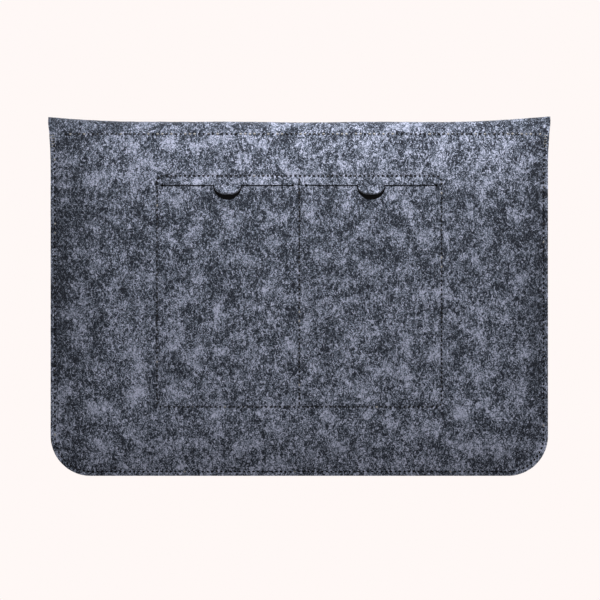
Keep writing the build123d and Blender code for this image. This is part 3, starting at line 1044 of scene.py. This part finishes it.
class SLEEVE_OT_linings(bpy.types.Operator):
    """Add the flannel lining behind each felt panel"""

    bl_idname = "sleeve.linings"
    bl_label = "Linings"

    def execute(self, context):
        colours = context.scene.sleeve_colours
        for name, side, top, felt in (("back_lining", -1, FOLD_Z - 1 * MM, "back_panel"),
                                      ("front_lining", 1, MOUTH_Z, "front_panel")):
            shares = -side * np.linspace(-1, 1, 120)
            heights = np.concatenate((corner_heights(0.0), np.linspace(CORNER_RADIUS, top, 75)))
            piece = grid_piece(f"{name}_cloth", len(shares), len(heights))
            rows = []
            for z in heights:
                x = shares * float(half_width(z) - LINING_INSET)
                height = np.full_like(x, max(z, LINING_INSET))
                y = SEAM_Y + side * lining_depth(x, height)
                rows.append(np.column_stack((x, y, height)))
            move_to(piece, np.concatenate(rows))
            thicken(piece, 0.96 * LINING)
            places = places_of(piece)
            places[:, 2] = np.maximum(places[:, 2], 0)
            move_to(piece, places)
            finish_surface(piece, shared_material("brushed_flannel", cloth_material,
                                                  colours.flannel, 0.9 * MM, 0.75))
            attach(piece, "sleeve_body")
            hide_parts(name)
        return {"FINISHED"}


class SLEEVE_OT_pocket_bag(bpy.types.Operator):
    """Add the thin bag behind both slits"""

    bl_idname = "sleeve.pocket_bag"
    bl_label = "Pocket bag"

    def execute(self, context):
        colours = context.scene.sleeve_colours
        low, high = BAG
        columns, rows = 80, 66
        piece = grid_piece("pocket_bag_cloth", columns, rows)
        across, up = np.linspace(low.x, high.x, columns), np.linspace(low.z, high.z, rows)
        x, z = np.meshgrid(across, up)
        wave = np.array([noise.noise(Vector((a, 0.2, b)) / (22 * MM))
                         for a, b in zip(x.ravel(), z.ravel())])
        y = low.y - 0.15 * MM + 0.12 * MM * wave
        move_to(piece, np.column_stack((x.ravel(), y, z.ravel())))
        thicken(piece, 0.5 * (high.y - low.y))
        # The bag's near-black colour is partly the cloth's own and partly painted shade
        finish_surface(piece, shared_material("pocket_cloth", cloth_material,
                                              colours.bag, 0.5 * MM, 0.3, 0.0))
        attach(piece, "sleeve_body")
        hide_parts("pocket_bag")
        return {"FINISHED"}


# ---------------------------------------------------------------------------------------------
# Stitching


def stitch_shape(length, radius):
    """Points and faces of one stitch, bowed over the felt, with its lay along and round it."""
    bpy.ops.object.select_all(action="DESELECT")
    bpy.ops.mesh.primitive_uv_sphere_add(segments=8, ring_count=7, radius=1, location=(0, 0, 0),
                                         rotation=(0, math.pi / 2, 0))
    piece = added("stitch")
    bpy.ops.object.transform_apply(location=False, rotation=True, scale=False)
    places = places_of(piece)
    along = np.sign(places[:, 0]) * np.abs(places[:, 0]) ** 0.8
    round_it = np.arctan2(places[:, 2], places[:, 1])
    shaped = np.column_stack((along * length / 2, places[:, 1] * radius, places[:, 2] * radius))
    shaped[:, 2] += radius * 0.35 - 1.1 * radius * along ** 2
    lay = np.column_stack((along * length / 2, round_it, np.zeros(len(shaped))))
    faces = [list(face.vertices) for face in piece.data.polygons]
    bpy.data.objects.remove(piece)
    return shaped, faces, lay


def stitch_run(name, spots, length, radius, wobble=6.0, seed=1):
    """One object with a stitch at each spot (place, way along, way out)."""
    shape, faces, lay = stitch_shape(length, radius)
    random.seed(seed)
    all_places, all_faces, all_lay = [], [], []
    for count, (place, way, out) in enumerate(spots):
        way, out = Vector(way).normalized(), Vector(out).normalized()
        turn = math.radians(random.uniform(-wobble, wobble))
        way = (Matrix.Rotation(turn, 3, out) @ way).normalized()
        side = out.cross(way).normalized()
        basis = np.array((way, side, out.normalized()))
        stretch = random.uniform(0.88, 1.08)
        all_places.append((shape * (stretch, 1, 1)) @ basis + np.array(place))
        all_faces.extend([[i + count * len(shape) for i in face] for face in faces])
        each = lay.copy()
        each[:, 2] = count
        all_lay.append(each)
    mesh = bpy.data.meshes.new(name)
    mesh.from_pydata(np.concatenate(all_places).tolist(), [], all_faces)
    piece = bpy.data.objects.new(name, mesh)
    bpy.context.scene.collection.objects.link(piece)
    write_lay(piece, np.concatenate(all_lay))
    return piece


def along_path(points, pitch):
    """Evenly spaced (x, z) and direction along a line of points."""
    points = np.array(points)
    steps = np.hypot(*np.diff(points, axis=0).T)
    run = np.concatenate(([0], np.cumsum(steps)))
    count = max(int(round(run[-1] / pitch)), 1)
    at = (np.arange(count) + 0.5) * run[-1] / count
    near = 0.2 * MM

    def on_path(runs):
        """Places at the given lengths along the line."""
        return np.column_stack([np.interp(runs, run, points[:, k]) for k in (0, 1)])

    return on_path(at), (on_path(np.minimum(at + near, run[-1]))
                         - on_path(np.maximum(at - near, 0)))


def on_face(spots, ways, depth_at, side, sizes, lay_of, sink=0.0):
    """Spots with their place on a panel's outer face, its way along and its way out."""
    step = 0.5 * MM
    x, z = spots.T
    on_cut = np.column_stack((x, SEAM_Y + side * depth_at(x, z), z))
    relief = surface_noise(lay_of(on_cut), sizes.relief)
    found = []

    def slope(x, z, dx, dz):
        """Slope of the face at a place, one way."""
        ahead = depth_at(np.array(x + dx), np.array(z + dz))
        behind = depth_at(np.array(x - dx), np.array(z - dz))
        return float(ahead - behind) / (2 * step)

    for (x, z), (dx, dz), lift in zip(spots, ways, relief):
        depth = float(depth_at(np.array(x), np.array(z)))
        slope_x, slope_z = slope(x, z, step, 0), slope(x, z, 0, step)
        out = Vector((-slope_x, side, -slope_z)).normalized()
        way = Vector((dx, side * (slope_x * dx + slope_z * dz), dz))
        place = Vector((x, SEAM_Y + side * depth, z)) + out * (lift - sink)
        found.append((place, way, out))
    return found


def arc_points(centre_x, centre_z, radius, start, end, count=10):
    """Points round part of a circle, in degrees from +X towards +Z."""
    turns = np.radians(np.linspace(start, end, count))
    return [(centre_x + radius * math.cos(t), centre_z + radius * math.sin(t)) for t in turns]


def ring_path(half_x, low, high, corner, centre_x=0.0):
    """Closed path round a rectangle with round corners."""
    right, left = centre_x + half_x - corner, centre_x - half_x + corner
    points = arc_points(right, high - corner, corner, 90, 0)
    points += arc_points(right, low + corner, corner, 0, -90)
    points += arc_points(left, low + corner, corner, -90, -180)
    points += arc_points(left, high - corner, corner, 180, 90)
    return points + points[:1]


def thread_of(name, colours, share):
    """The material of a thread, with the given share of its stitches in the light colour."""
    return shared_material(name, thread_material, colours.dark_thread, colours.light_thread, share)


def side_seam_path(top):
    """Path down one side, along the bottom and up the other side."""
    radius = CORNER_RADIUS - SEAM_INSET
    centre_x = HALF_WIDTH - CORNER_RADIUS
    line = HALF_WIDTH - SEAM_INSET
    flare = float(half_width(np.array(top))) - HALF_WIDTH
    points = [(-line - flare, top), (-line, FLARE_FROM_Z)]
    points += arc_points(-centre_x, CORNER_RADIUS, radius, 180, 270, 16)
    points += arc_points(centre_x, CORNER_RADIUS, radius, 270, 360, 16)
    return points + [(line, FLARE_FROM_Z), (line + flare, top)]


class SLEEVE_OT_stitching(bpy.types.Operator):
    """Add every row of stitches on the back and front panels"""

    bl_idname = "sleeve.stitching"
    bl_label = "Stitching"

    def execute(self, context):
        sizes, colours = context.scene.sleeve_sizes, context.scene.sleeve_colours
        dark = thread_of("spun_thread_dark", colours, FEW_LIGHT)
        mixed = thread_of("spun_thread_mixed", colours, SOME_LIGHT)
        ring = ring_path(RING_X, RING_BOTTOM, RING_TOP, RING_CORNER)
        divider = [(0, RING_BOTTOM + 1 * MM), (0, RING_TOP - 1 * MM)]
        hem_half = HALF_WIDTH - 9 * MM
        hem = [(-hem_half, HEM_Z), (hem_half + 5 * MM, HEM_Z)]
        mouth = [(-HALF_WIDTH + 8 * MM, MOUTH_HEM_Z), (HALF_WIDTH - 8 * MM, MOUTH_HEM_Z)]
        seam = side_seam_path(MOUTH_Z - 1 * MM)
        sink = 0.15 * sizes.seam_pull
        runs = (
            ("pocket_outline", [(ring, back_depth, -1)], dark, sink),
            ("pocket_divider", [(divider, back_depth, -1)], dark, sink),
            ("lining_hem", [(hem, back_depth, -1)], mixed, 0.3 * sink),
            ("mouth_hem", [(mouth, front_depth, 1)], mixed, 0.5 * sink),
            ("side_seam", [(seam, back_depth, -1), (seam, front_depth, 1)], dark, sink),
        )
        for seed, (name, paths, thread, deep) in enumerate(runs, 5):
            spots = []
            for path, depth_at, side in paths:
                places, ways = along_path(path, sizes.stitch_pitch)
                lay_of = back_lay if side < 0 else front_lay
                spots += on_face(places, ways, depth_at, side, sizes, lay_of, deep)
            piece = stitch_run(f"{name}_stitches", spots, sizes.stitch_length,
                               sizes.thread_radius, seed=seed)
            finish_surface(piece, thread)
            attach(piece, "sleeve_body")
            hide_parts(f"{name}_stitching")
        return {"FINISHED"}


class SLEEVE_OT_bar_tacks(bpy.types.Operator):
    """Add the threads wound round the edge where each side seam ends"""

    bl_idname = "sleeve.bar_tacks"
    bl_label = "Bar tacks"

    def execute(self, context):
        light = thread_of("spun_thread_light", context.scene.sleeve_colours, MOST_LIGHT)
        length, radius, pitch = 4.0 * MM, 0.25 * MM, 1.9 * MM
        for side, (low, high) in TACKS.items():
            sign = 1 if side == "right" else -1
            spots = []
            for z in np.arange(high.z + 2.5 * MM, low.z + 2 * MM, -pitch):
                edge = float(half_width(np.array(z)))
                x = sign * (edge - 1.9 * MM)
                for panel, depth_at in ((-1, back_depth), (1, front_depth)):
                    depth = float(depth_at(np.array(x), np.array(z))) - 0.1 * MM
                    spots.append(
                        (Vector((x, SEAM_Y + panel * depth, z)), (1, 0, 0.12), (0, panel, 0)))
                for across in (-2 * MM, 2 * MM):
                    spots.append((Vector((sign * (edge - 0.05 * MM), SEAM_Y + across, z)),
                                  (0, 1, 0.1), (sign, 0, 0)))
            piece = stitch_run(f"bar_tack_threads_{side}", spots, length, radius,
                               wobble=9, seed=31)
            finish_surface(piece, light)
            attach(piece, "sleeve_body")
            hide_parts(f"bar_tack_{side}")
        return {"FINISHED"}


# ---------------------------------------------------------------------------------------------
# Hook-and-loop pads


def tape_shape(name, low, high, outward):
    """Woven tape with round corners, its face towards outward along Y."""
    bpy.ops.object.select_all(action="DESELECT")
    centre = (low + high) / 2
    size = high - low
    bpy.ops.mesh.primitive_cube_add(size=1, location=centre,
                                    scale=(size.x, 0.5 * size.y, size.z))
    piece = added(name)
    bpy.ops.object.transform_apply(location=True, rotation=True, scale=True)
    places = places_of(piece)
    places[:, 1] += -outward * 0.25 * size.y
    move_to(piece, places)
    apply_modifier(piece, "BEVEL", width=0.15 * MM, segments=2, limit_method="ANGLE")
    return piece


def repeat_shape(piece, places, faces, spots):
    """Adds a copy of one small shape to a piece at each spot."""
    start = len(piece.data.vertices)
    own = places_of(piece)
    own_faces = [list(face.vertices) for face in piece.data.polygons]
    copies = [own] + [places + spot for spot in spots]
    for count in range(len(spots)):
        own_faces.extend([[i + start + count * len(places) for i in face] for face in faces])
    mesh = piece.data
    mesh.clear_geometry()
    mesh.from_pydata(np.concatenate(copies).tolist(), [], own_faces)


def hook_shape(height, outward):
    """Points and faces of one hook or loop: a thin strip bent over."""
    turns = np.linspace(0, math.pi * 1.25, 6)
    radius = 0.38 * height
    line = [(0.0, 0.0)] + [
        (radius - radius * math.cos(t), height - radius + radius * math.sin(t)) for t in turns]
    half = 0.09 * MM
    places, faces = [], []
    for across, up in line:
        for dz in (-half, half):
            places.append((across, outward * up, dz))
    for i in range(len(line) - 1):
        faces.append([2 * i, 2 * i + 1, 2 * i + 3, 2 * i + 2])
    return np.array(places), faces


class SLEEVE_OT_pads(bpy.types.Operator):
    """Add the hook pads under the flap and the loop pads on the front panel"""

    bl_idname = "sleeve.pads"
    bl_label = "Hook and loop pads"

    def execute(self, context):
        sizes, colours = context.scene.sleeve_sizes, context.scene.sleeve_colours
        dark = thread_of("spun_thread_dark", colours, FEW_LIGHT)
        for kind, outward, body, colour in (("hook", -1, "flap", colours.hook_tape),
                                            ("loop", 1, "sleeve_body", colours.loop_tape)):
            tape = shared_material(f"{kind}_weave", cloth_material, colour, 0.6 * MM, 0.2)
            for side in ("left", "right"):
                low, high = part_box(f"{kind}_pad_{side}")
                piece = tape_shape(f"{kind}_pad_tape_{side}", low, high, outward)
                shape, faces = hook_shape(0.42 * (high.y - low.y), outward)
                face_y = (low.y + high.y) / 2
                random.seed(17)
                spots = []
                for x in np.arange(low.x + 1.2 * MM, high.x - 1.5 * MM, 1.25 * MM):
                    for z in np.arange(low.z + 1.0 * MM, high.z - 1.0 * MM, 1.1 * MM):
                        jitter = [random.uniform(-0.2, 0.2) * MM for _ in range(2)]
                        spots.append(np.array((x + jitter[0], face_y, z + jitter[1])))
                repeat_shape(piece, shape, faces, spots)
                finish_surface(piece, tape)
                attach(piece, body)
                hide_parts(f"{kind}_pad_{side}")
                self.add_stitches(kind, side, body, sizes, dark)
        return {"FINISHED"}

    def add_stitches(self, kind, side, body, sizes, thread):
        """Stitches round one pad. A hook pad's show on the outside of the flap."""
        low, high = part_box(f"{kind}_pad_stitching_{side}")
        centre_x, half_x = (low.x + high.x) / 2, (high.x - low.x - THREAD) / 2
        path = ring_path(half_x, low.z + THREAD / 2, high.z - THREAD / 2, 2 * MM, centre_x)
        places, ways = along_path(path, 2.6 * MM)
        sink = 0.1 * MM
        if kind == "hook":
            spots = on_face(places, ways, flap_depth, 1, sizes, back_lay, sink)
        else:
            spots = [(Vector((x, high.y - sink, z)), (dx, 0, dz), (0, 1, 0))
                     for (x, z), (dx, dz) in zip(places, ways)]
        piece = stitch_run(f"{kind}_pad_stitches_{side}", spots, 2.1 * MM, 0.28 * MM, seed=41)
        finish_surface(piece, thread)
        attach(piece, body)
        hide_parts(f"{kind}_pad_stitching_{side}")


# ---------------------------------------------------------------------------------------------
# Stage


def area_light(name, place, aim, size, power):
    """A soft light, as wide and as high as size says."""
    bpy.ops.object.light_add(type="AREA", location=place)
    light = bpy.context.active_object
    light.name = name
    light.data.shape = "RECTANGLE"
    light.data.size, light.data.size_y = size
    light.data.energy = power
    light.visible_camera = False
    light.rotation_euler = (Vector(aim) - Vector(place)).to_track_quat("-Z", "Y").to_euler()


class SLEEVE_OT_stage(bpy.types.Operator):
    """Add the floor, the lights and the camera"""

    bl_idname = "sleeve.stage"
    bl_label = "Stage"

    def execute(self, context):
        colours = context.scene.sleeve_colours
        bpy.ops.object.select_all(action="DESELECT")
        bpy.ops.mesh.primitive_plane_add(size=FLOOR_SIZE, location=(0, 0, -0.05 * MM))
        floor = added("floor")
        floor.data.materials.append(shared_material("pale_floor", stage_material, colours.stage))

        world = bpy.data.worlds.new("studio")
        bpy.context.scene.world = world
        world.use_nodes = True
        tree = world.node_tree
        background = tree.nodes["Background"]
        seen = tree.nodes.new("ShaderNodeBackground")
        seen.inputs["Color"].default_value = (*colours.stage, 1)
        background.inputs["Color"].default_value = (0.9, 0.95, 1.0, 1)
        background.inputs["Strength"].default_value = ROOM_LIGHT
        mix = tree.nodes.new("ShaderNodeMixShader")
        path = tree.nodes.new("ShaderNodeLightPath")
        tree.links.new(path.outputs["Is Camera Ray"], mix.inputs[0])
        tree.links.new(background.outputs[0], mix.inputs[1])
        tree.links.new(seen.outputs[0], mix.inputs[2])
        tree.links.new(mix.outputs[0], tree.nodes["World Output"].inputs["Surface"])

        for light in LIGHTS:
            area_light(*light)

        bpy.ops.object.camera_add(location=CAMERA_PLACE, rotation=(math.pi / 2, 0, 0))
        camera = bpy.context.active_object
        camera.name = "camera"
        camera.data.lens = CAMERA_LENS
        camera.data.sensor_width = CAMERA_SENSOR
        camera.data.clip_start = 0.05
        bpy.context.scene.camera = camera
        bpy.context.scene.view_settings.view_transform = "Standard"
        return {"FINISHED"}


class SLEEVE_PT_panel(bpy.types.Panel):
    """Lists the steps that build the sleeve"""

    bl_idname = "SLEEVE_PT_panel"
    bl_label = "Felt laptop sleeve"
    bl_space_type = "VIEW_3D"
    bl_region_type = "UI"
    bl_category = "Sleeve"

    def draw(self, context):
        layout = self.layout
        for step in STEPS:
            layout.operator(step.bl_idname)
        for group in (context.scene.sleeve_sizes, context.scene.sleeve_colours):
            for name in group.__annotations__:
                layout.prop(group, name)


STEPS = (
    SLEEVE_OT_stage,
    SLEEVE_OT_back_felt,
    SLEEVE_OT_flap_felt,
    SLEEVE_OT_front_felt,
    SLEEVE_OT_tongues,
    SLEEVE_OT_linings,
    SLEEVE_OT_pocket_bag,
    SLEEVE_OT_stitching,
    SLEEVE_OT_bar_tacks,
    SLEEVE_OT_pads,
)
CLASSES = (SleeveSizes, SleeveColours, *STEPS, SLEEVE_PT_panel)


def register():
    """Registers the classes, and puts the sizes and colours on the scene."""
    for cls in CLASSES:
        bpy.utils.register_class(cls)
    bpy.types.Scene.sleeve_sizes = bpy.props.PointerProperty(type=SleeveSizes)
    bpy.types.Scene.sleeve_colours = bpy.props.PointerProperty(type=SleeveColours)


def unregister():
    """Takes them away again."""
    del bpy.types.Scene.sleeve_colours
    del bpy.types.Scene.sleeve_sizes
    for cls in reversed(CLASSES):
        bpy.utils.unregister_class(cls)


def main():
    """Builds every piece in order."""
    register()
    for step in STEPS:
        group, operator = step.bl_idname.split(".")
        getattr(getattr(bpy.ops, group), operator)()


if __name__ == "__main__":
    main()
